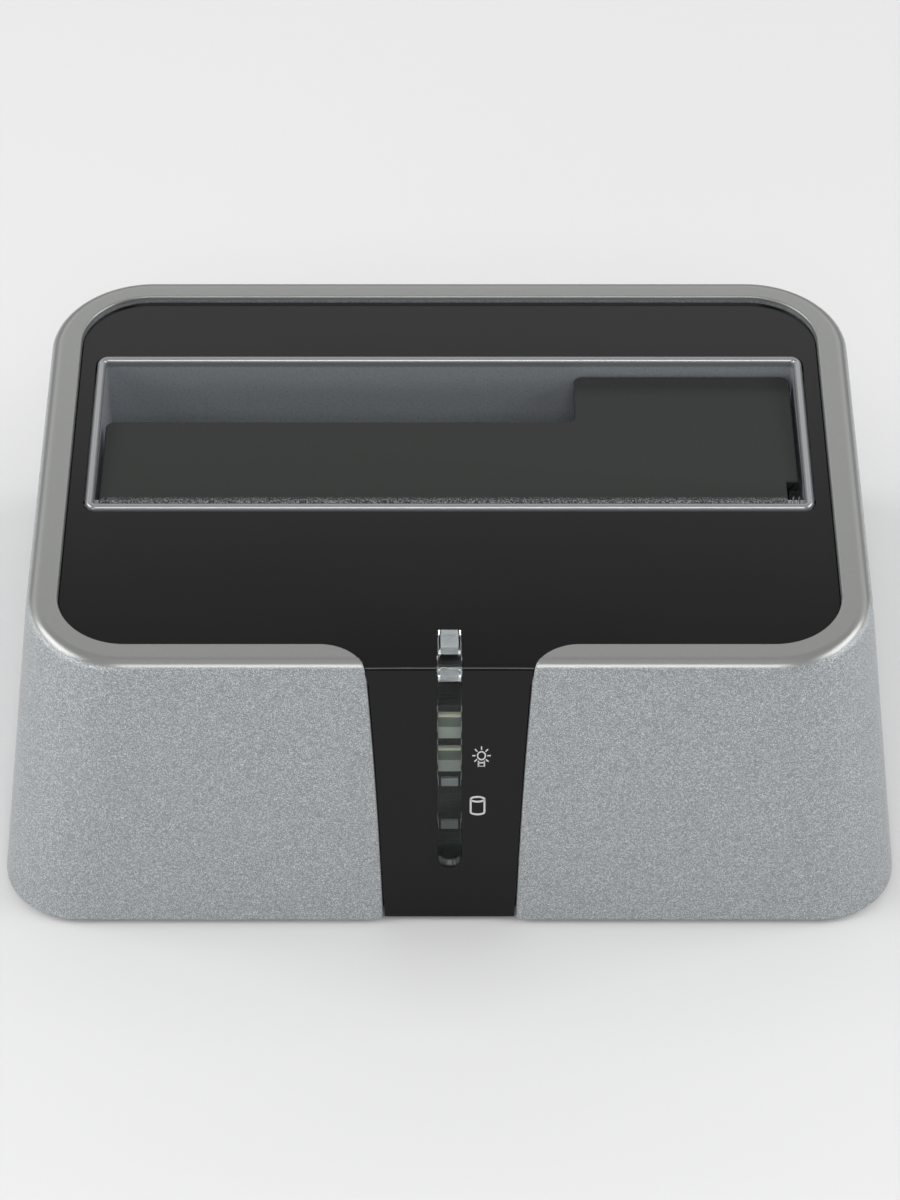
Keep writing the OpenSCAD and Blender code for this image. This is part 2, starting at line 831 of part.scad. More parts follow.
module dc_jack_pin()
    color([0.78, 0.76, 0.7])
        translate([jack_x, rear_face - jack_depth, jack_z])
            rotate([-90, 0, 0])
                rotate_extrude()
                    polygon([[0, 0], [jack_pin, 0], [jack_pin, jack_pin_length - jack_pin_bevel],
                        [jack_pin - jack_pin_bevel, jack_pin_length], [0, jack_pin_length]]);

module switch_body()
    color([0.05, 0.05, 0.05])
        difference() {
            union() {
                translate([switch_x - switch_size[0] / 2, rear_face - switch_size[1],
                    switch_z - switch_size[2] / 2])
                    cube(switch_size + [0, merge, 0]);
                translate([switch_x - switch_rim[0] / 2, rear_face, switch_z - switch_rim[2] / 2])
                    cube(switch_rim);
            }
            translate([switch_x - switch_mouth[0] / 2, switch_pivot - switch_mouth_depth,
                switch_z - switch_mouth[1] / 2])
                cube([switch_mouth[0], switch_size[1], switch_mouth[1]]);
            translate([switch_x, switch_pivot, switch_z])
                cylinder(r = trunnion + pin_clearance, h = 2 * switch_size[2], center = true);
        }

// the rocker rests with one end in; its other end goes in when it is switched
module switch_rocker() {
    end_high = 2.6;
    middle_high = 1.6;
    end_low = -0.2;
    belly = [2, -1.6];
    half = rocker_size[0] / 2;
    color([0.12, 0.12, 0.12])
        translate([switch_x, switch_pivot, switch_z])
            rotate(rocker_lean) {
                linear_extrude(rocker_size[1], center = true)
                    polygon([[-half, end_low], [-belly[0], belly[1]], [belly[0], belly[1]], [half, end_low],
                        [half, end_high], [0, middle_high], [-half, end_high]]);
                cylinder(r = trunnion, h = switch_size[2] - 2 * trunnion_gap, center = true);
            }
}

module switch_terminals()
    color([0.75, 0.7, 0.55])
        for (side = [-1, 1])
            translate([switch_x + side * terminal_x - terminal_size[0] / 2,
                rear_face - switch_size[1] + terminal_in, board_top])
                cube([terminal_size[0], terminal_size[1], switch_lift - switch_size[2] / 2]);

// chip places on the main board, under the bay and beside the rear sockets
bridge_place = [12, slot_middle + 1];
bridge_size = [7, 7, 1];
bridge_lift = 0.1;
lead_size = [0.25, 1, 0.3];
lead_pitch = 0.5;
leads_a_side = 12;
flash_place = [26, slot_middle + 1];
flash_size = [5, 4, 1.6];
crystal_place = [12, slot_front + 3];
crystal_size = [5, 3.2, 1.1];
inductor_place = [14.5, rear_inside - 10];
inductor_size = [7.3, 6.6, 4];
regulator_place = [14.5, rear_inside - 3.6];
regulator_size = [5, 4, 1.5];
can_rows = [rear_inside - 12, rear_inside - 4.5];
can_x = -12.5;
can_radius = 3.15;
can_height = 5.4;
can_seat = [6.6, 6.6, 0.6];

// flat package standing on the main board, with its middle at a place
module package(place, size, lift)
    translate([place[0] - size[0] / 2, place[1] - size[1] / 2, board_top + lift])
        cube(size);

module bridge_chip()
    color([0.06, 0.06, 0.07])
        package(bridge_place, bridge_size, bridge_lift);

module bridge_leads()
    color([0.75, 0.75, 0.76])
        for (turn = [0 : 90 : 270], i = [0 : leads_a_side - 1])
            translate([bridge_place[0], bridge_place[1], board_top])
                rotate(turn)
                    translate([(i - (leads_a_side - 1) / 2) * lead_pitch - lead_size[0] / 2,
                        bridge_size[1] / 2, 0])
                        cube(lead_size);

module flash_chip()
    color([0.06, 0.06, 0.07])
        package(flash_place, flash_size, 0);

module crystal()
    color([0.76, 0.76, 0.77])
        package(crystal_place, crystal_size, 0);

module inductor()
    color([0.25, 0.25, 0.27])
        package(inductor_place, inductor_size, 0);

module regulator_chip()
    color([0.06, 0.06, 0.07])
        package(regulator_place, regulator_size, 0);

module capacitors()
    color([0.74, 0.75, 0.77])
        for (y = can_rows) {
            package([can_x, y], can_seat, 0);
            translate([can_x, y, board_top])
                cylinder(r = can_radius, h = can_height);
        }

// cut-out in the rear panel round a socket of this size
module port_cut(x, z, size)
    translate([x, rear_face, z])
        cube([size[0] + 2 * port_gap, 3 * rear_thickness, size[2] + 2 * port_gap], center = true);

module base_plate() {
    inset = wall + base_gap;
    inside = 2 * [half_width(base_top) - inset, half_depth(base_top) - inset];
    color([0.05, 0.05, 0.055])
        difference() {
            union() {
                translate([0, 0, foot_proud])
                    linear_extrude(base_thickness)
                        polygon(rounded(inside[0], inside[1], corner_at(base_top) - inset));
                // sill below the rear panel, out to the housing's rear face
                translate([-rear_half, rear_inside, foot_proud])
                    cube([2 * rear_half, half_depth(base_top) - rear_inside, base_thickness]);
                translate([-rear_half, rear_inside, foot_proud])
                    cube([2 * rear_half, rear_thickness, rear_top - foot_proud]);
                at_case_corners()
                    translate([0, 0, foot_proud])
                        cylinder(r = boss_radius + pad_rim, h = base_thickness + case_pad);
                at_ears()
                    translate([0, 0, foot_proud])
                        cylinder(r = boss_radius, h = bay_under - foot_proud - seat_gap);
                for (p = board_holes)
                    translate([p[0], p[1], foot_proud])
                        cylinder(r = boss_radius, h = board_under - foot_proud);
                for (side = [-1, 1])
                    translate([side * post_x, post_y, foot_proud])
                        cylinder(r = post_radius, h = board_under - foot_proud);
            }
            at_case_corners() {
                translate([0, 0, -past])
                    cylinder(r = head_radius + head_room, h = case_seat + past);
                cylinder(r = screw_radius + screw_room, h = base_top + case_pad + past);
            }
            at_ears()
                translate([0, 0, bay_under + ear_thickness - bay_screw_length - tip_room])
                    cylinder(r = screw_radius + screw_gap, h = bay_screw_length + tip_room);
            for (p = board_holes)
                translate([p[0], p[1], board_top - board_screw_length - tip_room])
                    cylinder(r = screw_radius + screw_gap, h = board_screw_length + tip_room);
            for (x = [-1, 1], y = [-1, 1])
                translate([x * foot_x, y * foot_y, 0])
                    cylinder(r = foot_radius + foot_gap, h = foot_proud + foot_sink);
            // two rows of vents in the floor
            for (x = [-1, 1], i = [-2 : 2])
                translate([x * vent_x - vent_size[0] / 2, vent_y + i * vent_pitch - vent_size[1] / 2, 0])
                    cube([vent_size[0], vent_size[1], base_top + past]);
            // cut-outs for the sockets and the switch
            port_cut(usb_x, usb_z, usb_size);
            port_cut(jack_x, jack_z, jack_size);
            port_cut(switch_x, switch_z, switch_size);
        }
}

module rubber_feet()
    color([0.03, 0.03, 0.03])
        for (x = [-1, 1], y = [-1, 1])
            translate([x * foot_x, y * foot_y, 0])
                cylinder(r = foot_radius, h = foot_proud + foot_sink);

module case_screws()
    color([0.3, 0.3, 0.31])
        at_case_corners()
            translate([0, 0, case_seat])
                mirror([0, 0, 1])
                    screw(case_length);

module bay_screws()
    color([0.72, 0.72, 0.74])
        at_ears()
            translate([0, 0, bay_under + ear_thickness])
                screw(bay_screw_length);

module board_screws()
    color([0.72, 0.72, 0.74])
        for (p = board_holes)
            translate([p[0], p[1], board_top])
                screw(board_screw_length);

housing();
fascia();
light_guide();
guide_pad();
drive_bay();
drive_flap();
flap_pin();
flap_spring();
led_board();
power_led();
activity_led();
lamp_resistors();
led_header();
header_pins();
main_board();
sata_socket();
sata_contacts();
usb_shell();
usb_tongue();
usb_contacts();
dc_jack_body();
dc_jack_pin();
switch_body();
switch_rocker();
switch_terminals();
bridge_chip();
bridge_leads();
flash_chip();
crystal();
inductor();
capacitors();
regulator_chip();
base_plate();
rubber_feet();
case_screws();
bay_screws();
board_screws();
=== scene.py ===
"""Looks of a hard drive docking station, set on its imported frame. Sizes are in mm, or in m where said."""

import json
import math

import bmesh
import bpy
import numpy as np
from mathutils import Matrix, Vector

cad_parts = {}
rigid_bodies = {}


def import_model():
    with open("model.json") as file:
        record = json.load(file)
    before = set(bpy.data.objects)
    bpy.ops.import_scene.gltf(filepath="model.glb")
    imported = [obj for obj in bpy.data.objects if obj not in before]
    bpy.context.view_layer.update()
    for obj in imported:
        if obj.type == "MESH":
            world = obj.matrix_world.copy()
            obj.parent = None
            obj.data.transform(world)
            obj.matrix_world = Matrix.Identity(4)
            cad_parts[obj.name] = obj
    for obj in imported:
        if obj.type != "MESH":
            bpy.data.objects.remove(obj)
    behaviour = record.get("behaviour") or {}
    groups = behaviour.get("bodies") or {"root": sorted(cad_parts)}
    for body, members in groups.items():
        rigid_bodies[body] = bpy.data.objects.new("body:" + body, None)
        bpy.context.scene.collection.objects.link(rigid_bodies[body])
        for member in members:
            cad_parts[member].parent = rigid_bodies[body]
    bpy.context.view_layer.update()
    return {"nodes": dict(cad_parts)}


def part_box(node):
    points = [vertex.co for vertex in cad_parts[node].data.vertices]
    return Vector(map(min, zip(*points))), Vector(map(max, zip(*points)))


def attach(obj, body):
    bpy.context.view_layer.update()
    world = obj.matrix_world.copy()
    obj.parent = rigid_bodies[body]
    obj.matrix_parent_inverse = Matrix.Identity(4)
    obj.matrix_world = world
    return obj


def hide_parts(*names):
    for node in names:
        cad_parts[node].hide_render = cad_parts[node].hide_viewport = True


for leftover in list(bpy.data.objects):
    bpy.data.objects.remove(leftover)
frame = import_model()

# One mm in metres, the distance below which two points are one, and the bend above which an edge is sharp.
MM = 0.001
MERGE = 0.001 * MM
SHARP = math.radians(35)


# Base plate, feet and case screws
# The base plate is one black ABS moulding with the rear panel, the screw posts and the vents on it. Its
# mould was spark-eroded to a fine matt grain. Four blackened screws hold it in the housing, and soft feet
# are pressed in below.

def linear(code):
    """Turns an sRGB hex colour into linear red, green and blue, with alpha 1."""
    srgb = np.array([int(code[k:k + 2], 16) for k in (1, 3, 5)]) / 255
    return (*np.where(srgb <= 0.04045, srgb / 12.92, ((srgb + 0.055) / 1.055) ** 2.4), 1)


def add_node(tree, kind, inputs=None, **settings):
    """Adds a node with its settings. An input, by name or number, is linked if it is a socket and set if it
    isn't."""
    made = tree.nodes.new(kind)
    for name, value in settings.items():
        setattr(made, name, value)
    for name, value in (inputs or {}).items():
        if isinstance(value, bpy.types.NodeSocket):
            tree.links.new(value, made.inputs[name])
        else:
            made.inputs[name].default_value = value
    return made


def noise(tree, place, grain, detail):
    """Cloudy noise from 0 to 1, with clouds about as wide as the grain (mm)."""
    made = add_node(tree, "ShaderNodeTexNoise",
                    {"Vector": place, "Scale": 1 / (grain * MM), "Detail": detail})
    return made.outputs["Fac"]


def ramp(tree, value, start, end, low=0.0, high=1.0, kind="LINEAR"):
    """A number that goes from low to high as the value goes from start to end, and stays there beyond."""
    made = add_node(tree, "ShaderNodeMapRange",
                    {"Value": value, "From Min": start, "From Max": end, "To Min": low, "To Max": high},
                    interpolation_type=kind)
    return made.outputs[0]


def mix_colours(tree, share, first, second):
    """A colour from the first to the second as share goes from 0 to 1. Each is a hex code or a socket."""
    first, second = [linear(end) if isinstance(end, str) else end for end in (first, second)]
    made = add_node(tree, "ShaderNodeMix", {"Factor": share, 6: first, 7: second}, data_type="RGBA")
    return made.outputs[2]


def bumps(tree, level, depth):
    """A normal tilted by a level from 0 to 1 that stands for this depth (mm)."""
    made = add_node(tree, "ShaderNodeBump", {"Height": level, "Distance": depth * MM})
    return made.outputs[0]


def start_material(name):
    """An empty material, its node tree, and the socket that gives a point in the piece's own coordinates."""
    material = bpy.data.materials.new(name)
    material.use_nodes = True
    material.node_tree.nodes.clear()
    place = add_node(material.node_tree, "ShaderNodeTexCoord").outputs["Object"]
    return material, material.node_tree, place


def finish_material(tree, inputs):
    """Ends a material in one principled shader with these inputs."""
    shader = add_node(tree, "ShaderNodeBsdfPrincipled", inputs)
    add_node(tree, "ShaderNodeOutputMaterial", {"Surface": shader.outputs[0]})


def moulded(name, dark, light, roughness, grain, depth):
    """Moulded plastic: the mould's grain (mm) is a bump of this depth (mm) and shifts the tone between two
    colours, and the gloss changes a little over some centimetres, as the melt's flow leaves it."""
    flow_wide, flow_change = 18, 0.06
    material, tree, place = start_material(name)
    grit = noise(tree, place, grain, 3.0)
    flow = noise(tree, place, flow_wide, 2.0)
    gloss = ramp(tree, flow, 0, 1, roughness - flow_change, roughness + flow_change)
    finish_material(tree, {"Base Color": mix_colours(tree, grit, dark, light), "Roughness": gloss,
                           "Normal": bumps(tree, grit, depth), "IOR": 1.5})
    return material


def metal(name, dark, light, roughness, grain, stretch=(1, 1, 1)):
    """Bare or plated metal: marks as wide as the grain (mm), drawn out along the axes by stretch, shift its
    tone and roughness, as drawing, pressing or plating leaves them."""
    change = 0.08
    material, tree, place = start_material(name)
    drawn = add_node(tree, "ShaderNodeMapping", {"Vector": place, "Scale": stretch})
    marks = noise(tree, drawn.outputs[0], grain, 4.0)
    gloss = ramp(tree, marks, 0, 1, roughness - change, roughness + change)
    finish_material(tree, {"Base Color": mix_colours(tree, marks, dark, light), "Metallic": 1.0,
                           "Roughness": gloss})
    return material


def round_edges(piece, width, limit):
    """Rounds a piece's edges by width (mm): sharp ones for the limit ANGLE, marked ones for WEIGHT."""
    bevel = piece.modifiers.new("rounded edges", "BEVEL")
    bevel.width = width * MM
    bevel.segments = 3
    bevel.limit_method = limit
    bevel.angle_limit = SHARP
    bevel.use_clamp_overlap = False
    bevel.harden_normals = True


def edged_copy(node, body, material, edge):
    """Stands in for a CAD node: a copy of its mesh with the loose triangles joined, the curves shaded smooth
    and, if edge isn't 0, sharp edges rounded by edge (mm), as a mould or a press leaves them."""
    level = math.radians(0.5)
    mesh = frame["nodes"][node].data.copy()
    joined = bmesh.new()
    joined.from_mesh(mesh)
    bmesh.ops.remove_doubles(joined, verts=joined.verts, dist=MERGE)
    bmesh.ops.dissolve_limit(joined, angle_limit=level, verts=joined.verts, edges=joined.edges)
    joined.to_mesh(mesh)
    joined.free()
    mesh.attributes.remove(mesh.attributes["custom_normal"])
    mesh.materials.clear()
    mesh.materials.append(material)
    mesh.shade_smooth()
    mesh.set_sharp_from_angle(angle=SHARP)
    piece = bpy.data.objects.new(node + "_skin", mesh)
    bpy.context.collection.objects.link(piece)
    if edge:
        round_edges(piece, edge, "ANGLE")
    else:
        even = piece.modifiers.new("even shading", "WEIGHTED_NORMAL")
        even.keep_sharp = True
    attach(piece, body)
    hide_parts(node)
    return piece


# Spark-eroded ABS scatters its highlight into a soft grey sheen.
black_abs = moulded("black ABS, spark-eroded", "#19191a", "#29292b", roughness=0.55, grain=0.35, depth=0.02)
edged_copy("base_plate", "dock", black_abs, edge=0.15)

# Rubber takes up dust and shows next to no highlight.
foot_rubber = moulded("black rubber, moulded matt", "#131313", "#232323",
                      roughness=0.85, grain=0.6, depth=0.03)
edged_copy("rubber_feet", "dock", foot_rubber, edge=0.4)

# Blackened steel keeps a dull metal glint on the driver's cross.
black_steel = metal("steel, blackened", "#1d1d1f", "#3a3a3d", roughness=0.42, grain=0.5)
edged_copy("case_screws", "dock", black_steel, edge=0.12)


# Main board and what is soldered to it
# A glass-fibre board with green solder mask over copper tracks, screwed to short posts on the base. It
# carries a bridge chip with its leads, a memory chip, a crystal and a small supply: regulator, inductor and
# two can capacitors.

def paint(material, *nodes):
    """Puts a material on CAD nodes whose shape stays as it is."""
    for name in nodes:
        frame["nodes"][name].material_slots[0].material = material


def circuit_board(name, turn, dark, light, track):
    """Solder mask over tracks: a running bond of lines 0.3 mm wide, one every 1.4 mm, stands for the copper,
    which lies under the mask as slightly raised, lighter green. turn brings the board's plane to X and Y."""
    half_track, pitch, length, raised = 0.15, 1.4, 9.0, 0.035
    material, tree, place = start_material(name)
    flat = add_node(tree, "ShaderNodeMapping",
                    {"Vector": place, "Rotation": turn, "Scale": (1 / MM, 1 / MM, 1 / MM)}).outputs[0]
    tracks = add_node(tree, "ShaderNodeTexBrick", {
        "Vector": flat, "Scale": 1.0, "Mortar Size": half_track, "Mortar Smooth": 0.2,
        "Brick Width": length, "Row Height": pitch,
        "Color1": linear(dark), "Color2": linear(light), "Mortar": linear(track)})
    weave = add_node(tree, "ShaderNodeTexNoise", {"Vector": flat, "Scale": 2.5, "Detail": 3.0})
    colour = mix_colours(tree, weave.outputs["Fac"], tracks.outputs["Color"], light)
    finish_material(tree, {"Base Color": colour, "Roughness": 0.32, "IOR": 1.5, "Specular IOR Level": 0.25,
                           "Normal": bumps(tree, tracks.outputs["Fac"], raised)})
    return material


# Green solder mask is glossy, and the tracks under it show as lighter lines.
green_board = circuit_board("glass-fibre board, green mask", (0, 0, 0), "#0d4526", "#11512d", "#1f7142")
paint(green_board, "main_board")

# Moulded epoxy is dead black with a faint sanded look.
chip_epoxy = moulded("moulded epoxy, chip grade", "#161617", "#242426",
                     roughness=0.6, grain=0.2, depth=0.008)
paint(chip_epoxy, "bridge_chip", "flash_chip", "regulator_chip")

# Tin plate is bright but cloudy, because it was dipped.
tin_plate = metal("tin plate, dipped", "#a3a29c", "#cfcec9", roughness=0.28, grain=0.9)
paint(tin_plate, "bridge_leads", "crystal")

# Ferrite is pressed powder: dark grey, dull and slightly grainy.
ferrite = moulded("ferrite, pressed powder", "#262628", "#3b3b3f", roughness=0.7, grain=0.3, depth=0.02)
paint(ferrite, "inductor")

# A drawn can has fine lines along its wall.
drawn_aluminium = metal("aluminium, drawn can", "#a9abae", "#d2d3d5", roughness=0.3, grain=0.15,
                        stretch=(1, 1, 0.05))
paint(drawn_aluminium, "capacitors")

# Plain steel screws are bright with a little smear.
bright_steel = metal("steel, bright", "#8d8d90", "#bcbcc0", roughness=0.3, grain=0.4)
edged_copy("board_screws", "dock", bright_steel, edge=0.12)


# Drive socket
# A black nylon block soldered to the board, with a signal slot and a power slot in which gold-plated blades
# stand in a row. The drive is pushed down on it.

# Glass-filled nylon is black with a slight silky haze.
black_nylon = moulded("glass-filled nylon, black", "#121213", "#212122",
                      roughness=0.45, grain=0.25, depth=0.008)
edged_copy("sata_socket", "dock", black_nylon, edge=0.15)

# Gold flash over nickel is warm and fairly sharp.
gold_plate = metal("gold flash on nickel", "#b98d3b", "#e6c06a", roughness=0.25, grain=0.3)
paint(gold_plate, "sata_contacts", "usb_contacts", "header_pins")


# Rear sockets
# The USB socket is a folded, nickel-plated shell round a white nylon block with a tongue and four contacts.
# The power socket is a black nylon block with a round bore and a plated centre pin. Both are soldered to the
# board.

# Nickel plate on pressed sheet shows faint lines from the press.
nickel_plate = metal("nickel plate, pressed sheet", "#9f9e99", "#c9c8c3", roughness=0.24, grain=0.25,
                     stretch=(0.06, 1, 1))
edged_copy("usb_shell", "dock", nickel_plate, edge=0.12)
paint(nickel_plate, "dc_jack_pin", "switch_terminals")

# White nylon is even and silky, in a warm off-white.
white_nylon = moulded("nylon, natural white", "#cfccc2", "#e4e2da", roughness=0.42, grain=0.4, depth=0.01)
edged_copy("usb_tongue", "dock", white_nylon, edge=0.15)
edged_copy("dc_jack_body", "dock", black_nylon, edge=0.2)


# Power switch
# A black nylon frame snapped into the rear panel holds a polished rocker on two trunnions. Two plated
# terminals go down to the board.

# The rocker is polished so that it feels smooth, and mirrors the room softly.
rocker_nylon = moulded("nylon, polished black", "#0e0e0f", "#161617", roughness=0.2, grain=1.5, depth=0.004)
edged_copy("switch_body", "dock", black_nylon, edge=0.15)
edged_copy("switch_rocker", "rocker", rocker_nylon, edge=0.15)


# Light board
# A small upright board behind the light guide, on a black header with gold pins. Two lamps and two resistors
# are soldered to its front. The lamps are off: each has a cream foot and a clear, darker lens above it.

# The board's mask is drawn nearly black, so that next to nothing of the board shows.
upright = (math.pi / 2, 0, 0)
dark_board = circuit_board("glass-fibre board, dark mask", upright, "#06110f", "#091815", "#0e2620")
paint(dark_board, "led_board")
edged_copy("led_header", "dock", black_nylon, edge=0.15)


def axis(tree, place, letter):
    """One coordinate of a point."""
    return add_node(tree, "ShaderNodeSeparateXYZ", {0: place}).outputs[letter]


def lamp_package(name, node):
    """Lamp: the lower half is a cream foot, the upper half a clear lens that looks darker, and the lens's
    upper edge carries a painted highlight, a bright line 0.4 mm high. Each share is a step in height, 0.1 or
    0.2 mm soft."""
    highlight_high, soft, cloud_wide = 0.4, 0.1, 0.6
    low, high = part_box(node)
    middle = (low.z + high.z) / 2
    highlight_start = high.z - highlight_high * MM
    material, tree, place = start_material(name)
    up = axis(tree, place, "Z")
    lens = ramp(tree, up, middle - soft * MM, middle + soft * MM)
    # Painted highlight: a bright line along the lens's upper edge.
    line = ramp(tree, up, highlight_start - soft * MM, highlight_start)
    foot = mix_colours(tree, noise(tree, place, cloud_wide, 2.0), "#c3c6b8", "#dcdfd0")
    body = mix_colours(tree, lens, foot, "#767c70")
    colour = mix_colours(tree, line, body, "#fffce0")
    finish_material(tree, {"Base Color": colour, "Roughness": 0.3, "IOR": 1.5})
    return material


# Lamp resin is cream and glossy.
power_resin = lamp_package("lamp resin, power", "power_led")
activity_resin = lamp_package("lamp resin, activity", "activity_led")
edged_copy("power_led", "dock", power_resin, edge=0.15)
edged_copy("activity_led", "dock", activity_resin, edge=0.15)

# Glazed ceramic is pale and slightly shiny.
resistor_glaze = moulded("ceramic, glazed", "#b4b9b2", "#d3d7d0", roughness=0.3, grain=0.5, depth=0.004)
edged_copy("lamp_resistors", "dock", resistor_glaze, edge=0.1)


# Drive bay
# A deep silver-painted ABS box with a rounded ridge round its mouth, screwed to posts on the base. The drive
# stands in it on the socket that comes through its floor.

def silver_paint(name, dark, light, flat, grain, smooth_from, gloss):
    """Metallic paint: flakes as wide as the grain (mm) lie at different angles under the lacquer, so most
    look even and a few flash. The flashes are painted glints: a random tone for each flake raised to the
    power 3. Above the height smooth_from (mm) the film lies flat: the flakes and their painted glints hardly
    show, the tone is the flat one and the lacquer is glossier by 0.12. The lacquer's orange peel is a very
    low bump, 1.4 mm wide."""
    glint_power, fade_in, most_smooth = 3.0, 0.4, 0.96
    uneven, glossier = 0.07, 0.12
    peel_wide, peel_deep = 1.4, 0.004
    material, tree, place = start_material(name)
    flakes = add_node(tree, "ShaderNodeTexVoronoi", {"Vector": place, "Scale": 1 / (grain * MM)})
    tint = add_node(tree, "ShaderNodeSeparateColor", {"Color": flakes.outputs["Color"]})
    # Painted glints: raising each flake's random tone to the power 3 makes a few flakes much lighter.
    flash = add_node(tree, "ShaderNodeMath", {0: tint.outputs["Red"], 1: glint_power}, operation="POWER")
    up = axis(tree, place, "Z")
    smooth = ramp(tree, up, (smooth_from - fade_in) * MM, smooth_from * MM, high=most_smooth)
    flakes_with_glints = mix_colours(tree, flash.outputs[0], dark, light)
    scatter = ramp(tree, tint.outputs["Green"], 0, 1, gloss - uneven, gloss + uneven)
    sheen = add_node(tree, "ShaderNodeMix", {0: smooth, 2: scatter, 3: gloss - glossier})
    peel = noise(tree, place, peel_wide, 2.0)
    finish_material(tree, {"Base Color": mix_colours(tree, smooth, flakes_with_glints, flat), "Metallic": 0.55,
                           "Roughness": sheen.outputs[0], "Normal": bumps(tree, peel, peel_deep)})
    return material


# Inside the slot the paint is thin and smooth. Real flakes are near 0.03 mm; these are drawn coarser to show.
bay_silver = silver_paint("ABS, silver paint, bay", "#a4a9ae", "#b8bdc2", "#8b8d8e", grain=0.12,
                          smooth_from=47, gloss=0.34)
edged_copy("drive_bay", "dock", bay_silver, edge=0)
edged_copy("bay_screws", "dock", bright_steel, edge=0.12)


# Drive flap, hinge pin and spring
# The flap is a dark-grey satin ABS plate with a rolled front edge and a notch for a small drive. It turns on
# a steel pin, and a torsion spring coiled round the pin at its right end holds it shut.

def times(tree, first, second, plus=0.0):
    """The product of two numbers, plus a third."""
    made = add_node(tree, "ShaderNodeMath", {0: first, 1: second, 2: plus}, operation="MULTIPLY_ADD")
    return made.outputs[0]


# Satin ABS is dark and even. The mould's roll was eroded coarser, and there a pale speckle that follows the
# grain
# is painted into the colour: a painted highlight where light catches the rolled edge.
roll_start, roll_full = -5.3, -6.1
grit_wide, grit_deep = 0.22, 0.012
flap_satin, tree, place = start_material("ABS, dark grey, satin mould")
grit = noise(tree, place, grit_wide, 3.0)
roll = ramp(tree, axis(tree, place, "Y"), roll_start * MM, roll_full * MM)
# Painted highlight: a pale speckle on the rolled edge, shaped by the grain.
roll_highlight = times(tree, roll, ramp(tree, grit, 0.42, 0.7))
satin = mix_colours(tree, grit, "#1d1f1e", "#2a2c2a")
finish_material(tree, {"Base Color": mix_colours(tree, roll_highlight, satin, "#8b8d8e"), "Roughness": 0.45,
                       "Normal": bumps(tree, grit, grit_deep), "IOR": 1.5, "Specular IOR Level": 0.2})
edged_copy("drive_flap", "flap", flap_satin, edge=0.25)
paint(bright_steel, "flap_pin")


def grid_faces(rows, columns, around):
    """Quads between neighbours on a grid of points stored row by row. Columns close into a ring if around is
    true."""
    last = columns if around else columns - 1
    row, column = np.meshgrid(np.arange(rows - 1), np.arange(last), indexing="ij")
    beside = (column + 1) % columns
    corners = (row * columns + column, row * columns + beside, (row + 1) * columns + beside,
               (row + 1) * columns + column)
    return np.stack(corners, axis=-1).reshape(-1, 4)


def new_piece(name, points, faces, material, body):
    """Makes a piece from its points (mm) and faces: doubles merged, points without a face left out, faces
    turned outwards and curves shaded smooth."""
    mesh = bpy.data.meshes.new(name)
    mesh.from_pydata((points * MM).tolist(), [], faces)
    joined = bmesh.new()
    joined.from_mesh(mesh)
    bmesh.ops.remove_doubles(joined, verts=joined.verts, dist=MERGE)
    loose = [point for point in joined.verts if not point.link_faces]
    bmesh.ops.delete(joined, geom=loose, context="VERTS")
    bmesh.ops.recalc_face_normals(joined, faces=joined.faces)
    joined.to_mesh(mesh)
    joined.free()
    mesh.materials.append(material)
    mesh.shade_smooth()
    piece = bpy.data.objects.new(name, mesh)
    bpy.context.collection.objects.link(piece)
    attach(piece, body)
    return piece


def torsion_spring(hinge, tilt):
    """Wire round the hinge: the centre line is a straight leg, a helix of 700 degrees along X and a second
    leg, each leg tangent to the helix; a circle across the wire is carried along it, with the way outwards
    from the axis as its up."""
    wire, coil, pitch = 0.18, 1.2, 0.84
    turn, first = math.radians(700), math.radians(270)
    start_x, legs = 49.8, (4.5, 2.8)
    steps, sides = 60, 12
    share = np.concatenate([np.zeros(1), np.linspace(0, 1, steps), np.ones(1)])
    angle = first - turn * share
    outward = np.stack([0 * angle, np.cos(angle), np.sin(angle)], axis=-1)
    onward = np.stack([0 * angle, np.sin(angle), -np.cos(angle)], axis=-1)
    along = np.array([1.0, 0, 0])
    line = coil * outward + (start_x + pitch * turn / (2 * math.pi) * share)[:, None] * along
    line[0] -= legs[0] * onward[0]
    line[-1] += legs[1] * onward[-1]
    around = np.linspace(0, 2 * math.pi, sides, endpoint=False)[:, None]
    points = line[:, None] + wire * (np.cos(around) * outward[:, None] + np.sin(around) * along)
    lean = np.array([[1, 0, 0],
                     [0, math.cos(tilt), math.sin(tilt)],
                     [0, -math.sin(tilt), math.cos(tilt)]])
    points = points @ lean.T + np.array(hinge)
    rings = len(line)
    ends = [list(range(sides)), list(range((rings - 1) * sides, rings * sides))]
    return points.reshape(-1, 3), grid_faces(rings, sides, True).tolist() + ends


# Hard-drawn wire is a dull steel grey, with lines along the coil too fine to show.
hinge = (0, -5.4, 45.15)
spring_tilt = math.radians(3.2)
spring_wire = metal("spring steel, hard-drawn", "#58585a", "#8f8f92", roughness=0.26, grain=0.1)
spring_points, spring_faces = torsion_spring(hinge, spring_tilt)
spring = new_piece("flap_spring_wire", spring_points, spring_faces, spring_wire, "dock")
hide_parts("flap_spring")


# Light guide
# A clear acrylic strip that bends over the fascia's front edge. Its lip sits behind the fascia. Light from
# the two lamps goes up and down in it. A white foam pad lies under its head.

# Polished acrylic is clear with sharp highlights; a little haze keeps the board behind it soft. The strip's
# lowest 2.2 mm are tinted nearly black, painted shade that keeps its end dark, and its mirrored share is low.
painted_shade_full, painted_shade_end = 2.0, 2.4
strip_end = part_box("light_guide")[0].z
acrylic, tree, place = start_material("acrylic, polished clear")
